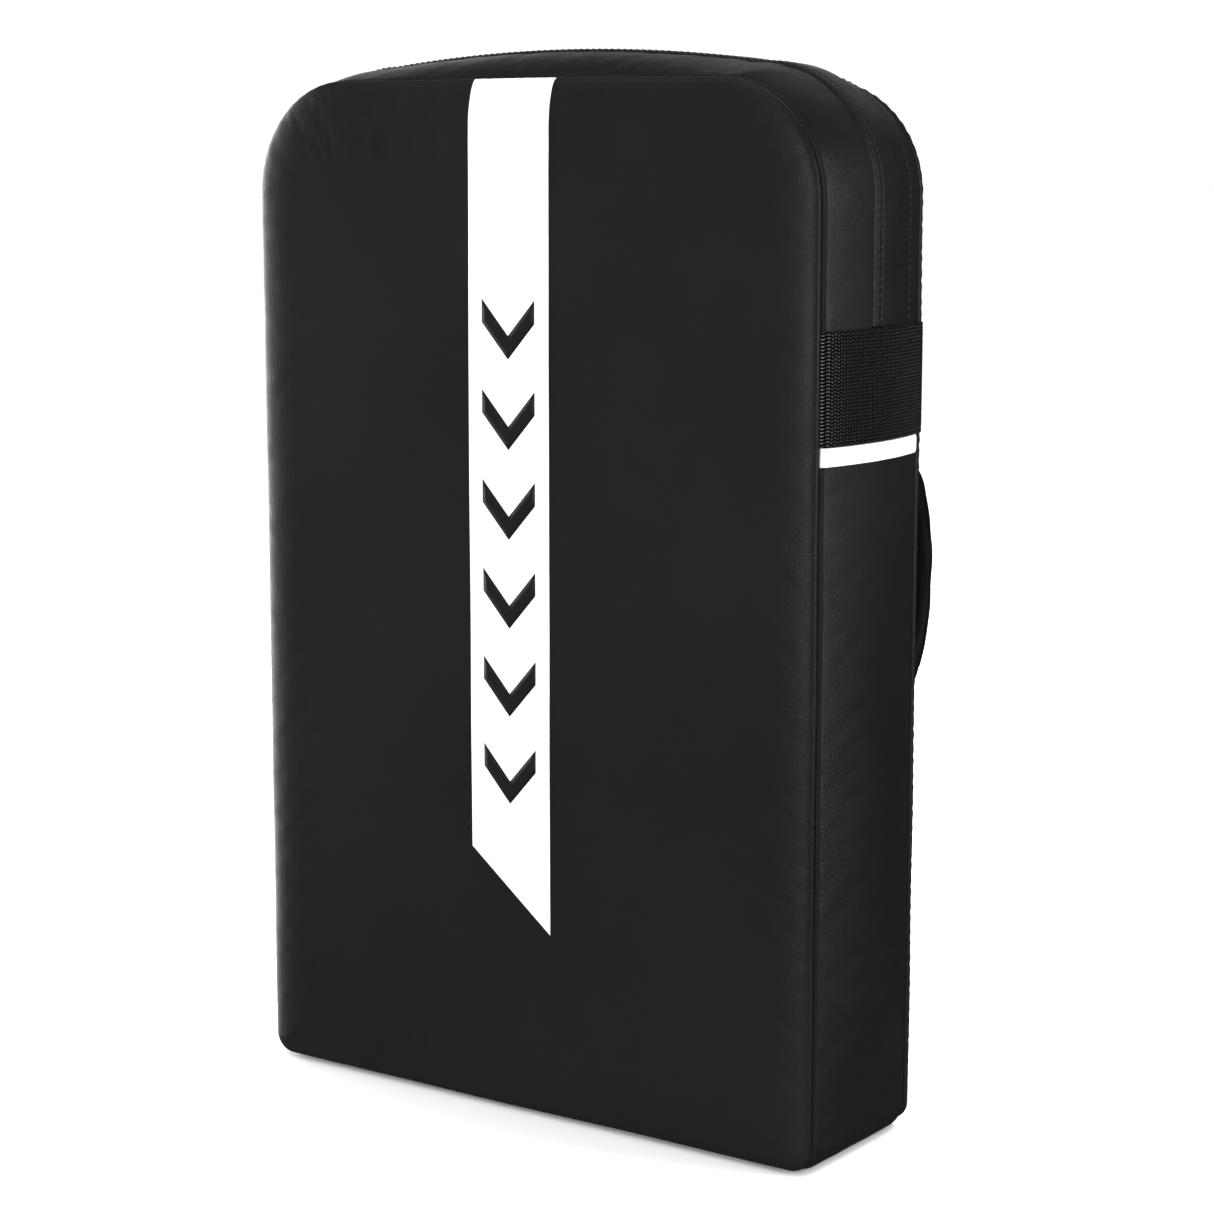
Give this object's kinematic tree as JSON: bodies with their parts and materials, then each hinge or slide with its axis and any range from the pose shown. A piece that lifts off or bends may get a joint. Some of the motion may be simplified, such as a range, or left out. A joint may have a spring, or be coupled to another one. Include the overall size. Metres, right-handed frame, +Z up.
{
  "type": "kick shield",
  "caption": "Tall rectangular strike pad with rounded top corners: foam in a sewn leather cover with a zip, a printed stripe, an arm strap and two grips on its back.",
  "frame": {"origin": "centre of the flat face the shield stands on, midway between the front and back seams", "axes": "+Z up the shield, +X to the right when facing the struck face, -Y out of the struck face"},
  "size_m": [0.399, 0.1673, 0.6015],
  "materials": {
    "pu_leather": "satin",
    "white_print": "satin",
    "black_print": "satin",
    "webbing": "matte",
    "white_trim": "satin",
    "tape": "matte",
    "zip_coil": "satin",
    "zip_metal": "gloss",
    "foam_grey": "matte",
    "foam_white": "matte"
  },
  "bodies": {
    "shield": {"front_panel": "pu_leather", "front_stripe": "white_print", "stripe_marks": "black_print", "back_panel": "pu_leather", "lower_gusset": "pu_leather", "upper_gusset_front": "pu_leather", "upper_gusset_rear": "pu_leather", "zip_flap": "pu_leather", "zip_tape_front": "tape", "zip_tape_rear": "tape", "zip_coil_front": "zip_coil", "zip_coil_rear": "zip_coil", "zip_stops": "zip_metal", "strike_foam": "foam_grey", "core_foam": "foam_white", "back_foam": "foam_grey", "front_seam_binding": "tape", "back_seam_binding": "tape", "arm_strap": "webbing", "arm_pad_cover": "pu_leather", "arm_pad_foam": "foam_grey", "white_trim_right": "white_trim", "white_trim_left": "white_trim", "reinforcement_right": "pu_leather", "reinforcement_left": "pu_leather", "grip_webbing_right": "webbing", "grip_webbing_left": "webbing", "grip_cover_right": "pu_leather", "grip_cover_left": "pu_leather", "grip_foam_right": "foam_grey", "grip_foam_left": "foam_grey"},
    "slider": {"zip_slider": "zip_metal"},
    "pull": {"zip_pull": "zip_metal"}
  },
  "joints": [
    {"name": "zip_slide", "type": "slide", "parent": "shield", "child": "slider", "axis": [0, 0, 1], "range_m": [0, 0.028]},
    {"name": "pull_hinge", "type": "hinge", "parent": "slider", "child": "pull", "pos_m": [-0.19961, 0.006, 0.4662], "axis": [0, 1, 0], "range_deg": [0, 150]}
  ]
}
